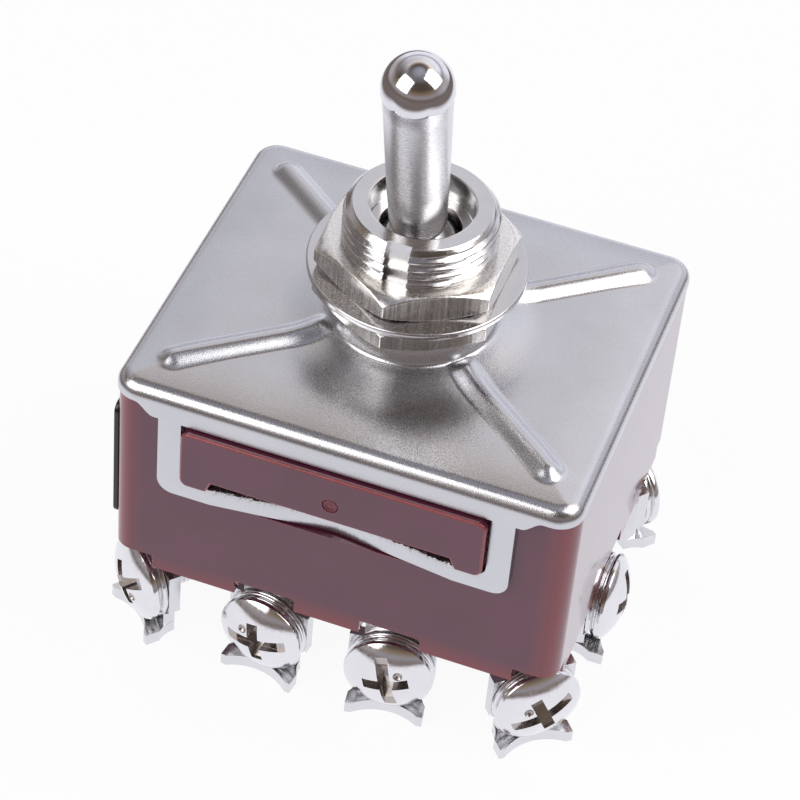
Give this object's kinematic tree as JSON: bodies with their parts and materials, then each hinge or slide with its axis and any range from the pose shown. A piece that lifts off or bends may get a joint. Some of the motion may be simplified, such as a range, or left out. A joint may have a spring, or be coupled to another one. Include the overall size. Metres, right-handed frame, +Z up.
{
  "type": "panel toggle switch",
  "caption": "Panel-mount lever switch: threaded bushing with nuts on a sheet cover, moulded body with screw lugs below, lever tips between two stops.",
  "frame": {"origin": "on the bushing's axis, at the top face of the sheet cover", "axes": "+Z up the bushing's axis, +X along the long side of the cover, -Y towards the side the lever rests on"},
  "size_m": [0.0406, 0.0328, 0.0569],
  "materials": {
    "nickel_sheet": "nickel plated, fine satin",
    "bushing_nickel": "nickel plated, machined",
    "nut_nickel": "nickel plated, brushed flats",
    "lever_chrome": "polished",
    "steel_pin": "drawn wire",
    "maroon_moulding": "glossy moulding compound",
    "black_plate": "glossy, blank",
    "fibre_sheet": "pressed fibre",
    "carriage_moulding": "moulded",
    "plunger_moulding": "moulded",
    "spring_steel": "spring wire",
    "contact_brass": "bright strip",
    "contact_silver": "silver alloy",
    "lug_nickel": "nickel plated brass strip",
    "screw_nickel": "nickel plated"
  },
  "bodies": {
    "switch": {"cover_plate": "nickel_sheet", "bushing": "bushing_nickel", "lower_nut": "nut_nickel", "panel_washer": "nut_nickel", "upper_nut": "nut_nickel", "pivot_pin": "steel_pin", "housing": "maroon_moulding", "blank_plate": "black_plate", "insulating_sheet": "fibre_sheet", "lug_front_1": "lug_nickel", "lug_front_2": "lug_nickel", "lug_front_3": "lug_nickel", "lug_front_4": "lug_nickel", "lug_rear_1": "lug_nickel", "lug_rear_2": "lug_nickel", "lug_rear_3": "lug_nickel", "lug_rear_4": "lug_nickel", "lug_common_1": "lug_nickel", "lug_common_2": "lug_nickel", "lug_common_3": "lug_nickel", "lug_common_4": "lug_nickel", "fixed_contacts": "contact_silver", "terminal_screws": "screw_nickel"},
    "lever": {"lever": "lever_chrome"},
    "carriage": {"carriage": "carriage_moulding", "plunger_spring_1": "spring_steel", "plunger_spring_2": "spring_steel", "plunger_spring_3": "spring_steel", "plunger_spring_4": "spring_steel"},
    "plunger_1": {"plunger_1": "plunger_moulding"},
    "rocker_1": {"rocker_1": "contact_brass", "moving_contacts_1": "contact_silver"},
    "plunger_2": {"plunger_2": "plunger_moulding"},
    "rocker_2": {"rocker_2": "contact_brass", "moving_contacts_2": "contact_silver"},
    "plunger_3": {"plunger_3": "plunger_moulding"},
    "rocker_3": {"rocker_3": "contact_brass", "moving_contacts_3": "contact_silver"},
    "plunger_4": {"plunger_4": "plunger_moulding"},
    "rocker_4": {"rocker_4": "contact_brass", "moving_contacts_4": "contact_silver"}
  },
  "joints": [
    {"name": "lever_tip", "type": "hinge", "parent": "switch", "child": "lever", "pos_m": [0, 0, 0.0059], "axis": [-1, 0, 0], "range_deg": [0, 24.4]},
    {"name": "carriage_slide", "type": "slide", "parent": "switch", "child": "carriage", "axis": [0, -1, 0], "range_m": [0, 0.00462]},
    {"name": "rocker_tip_1", "type": "hinge", "parent": "switch", "child": "rocker_1", "pos_m": [-0.0121, 0, -0.01505], "axis": [1, 0, 0], "range_deg": [0, 20.01]},
    {"name": "plunger_push_1", "type": "slide", "parent": "carriage", "child": "plunger_1", "axis": [0, 0, 1], "range_m": [0, 0.0004], "stiffness_N_per_m": 600, "deforming": ["plunger_spring_1"]},
    {"name": "rocker_tip_2", "type": "hinge", "parent": "switch", "child": "rocker_2", "pos_m": [-0.00435, 0, -0.01505], "axis": [1, 0, 0], "range_deg": [0, 20.01]},
    {"name": "plunger_push_2", "type": "slide", "parent": "carriage", "child": "plunger_2", "axis": [0, 0, 1], "range_m": [0, 0.0004], "stiffness_N_per_m": 600, "deforming": ["plunger_spring_2"]},
    {"name": "rocker_tip_3", "type": "hinge", "parent": "switch", "child": "rocker_3", "pos_m": [0.00435, 0, -0.01505], "axis": [1, 0, 0], "range_deg": [0, 20.01]},
    {"name": "plunger_push_3", "type": "slide", "parent": "carriage", "child": "plunger_3", "axis": [0, 0, 1], "range_m": [0, 0.0004], "stiffness_N_per_m": 600, "deforming": ["plunger_spring_3"]},
    {"name": "rocker_tip_4", "type": "hinge", "parent": "switch", "child": "rocker_4", "pos_m": [0.0121, 0, -0.01505], "axis": [1, 0, 0], "range_deg": [0, 20.01]},
    {"name": "plunger_push_4", "type": "slide", "parent": "carriage", "child": "plunger_4", "axis": [0, 0, 1], "range_m": [0, 0.0004], "stiffness_N_per_m": 600, "deforming": ["plunger_spring_4"]}
  ],
  "couplings": [
    {"joint": "carriage_slide", "follows": "lever_tip", "m_per_rad": 0.010818},
    {"joint": "rocker_tip_1", "follows": "lever_tip", "ratio": 0.81967},
    {"joint": "rocker_tip_2", "follows": "lever_tip", "ratio": 0.81967},
    {"joint": "rocker_tip_3", "follows": "lever_tip", "ratio": 0.81967},
    {"joint": "rocker_tip_4", "follows": "lever_tip", "ratio": 0.81967}
  ]
}
